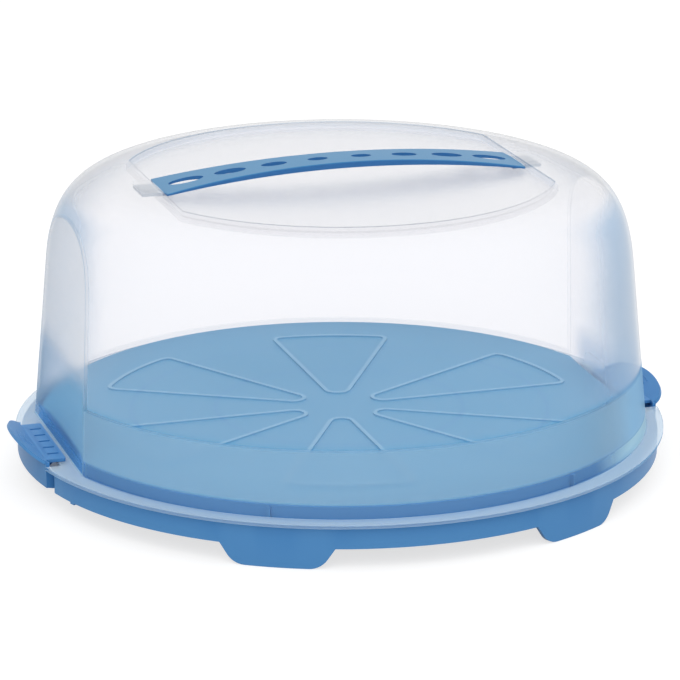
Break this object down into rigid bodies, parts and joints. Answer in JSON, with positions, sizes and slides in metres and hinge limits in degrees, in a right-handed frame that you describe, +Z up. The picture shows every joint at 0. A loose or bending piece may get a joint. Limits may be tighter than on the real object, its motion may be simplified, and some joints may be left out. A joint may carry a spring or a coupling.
{
  "type": "cake carrier",
  "caption": "Round cake carrier: moulded tray with a raised cake plate, clear domed lid with a strap handle, and a hooked side latch at each end.",
  "frame": {"origin": "centre of the carrier on the surface that its feet stand on", "axes": "+Z up through the handle; X from latch to latch along the handle; Y across it"},
  "size_m": [0.3574, 0.345, 0.1659],
  "materials": {
    "blue_plastic": "satin moulded polypropylene, mid blue",
    "clear_plastic": "clear, slightly milky moulded polypropylene"
  },
  "bodies": {
    "tray": {"base_tray": "blue_plastic"},
    "lid": {"lid_hood": "clear_plastic", "carry_handle": "blue_plastic"},
    "left_latch": {"latch_left": "blue_plastic"},
    "right_latch": {"latch_right": "blue_plastic"}
  },
  "joints": [
    {"name": "lid_lift", "type": "slide", "parent": "tray", "child": "lid", "axis": [0, 0, 1], "range_m": [0, 0.19]},
    {"name": "left_latch_hinge", "type": "hinge", "parent": "tray", "child": "left_latch", "pos_m": [-0.1618, 0, 0.0142], "axis": [0, -1, 0], "range_deg": [0, 80]},
    {"name": "right_latch_hinge", "type": "hinge", "parent": "tray", "child": "right_latch", "pos_m": [0.1618, 0, 0.0142], "axis": [0, 1, 0], "range_deg": [0, 80]}
  ]
}
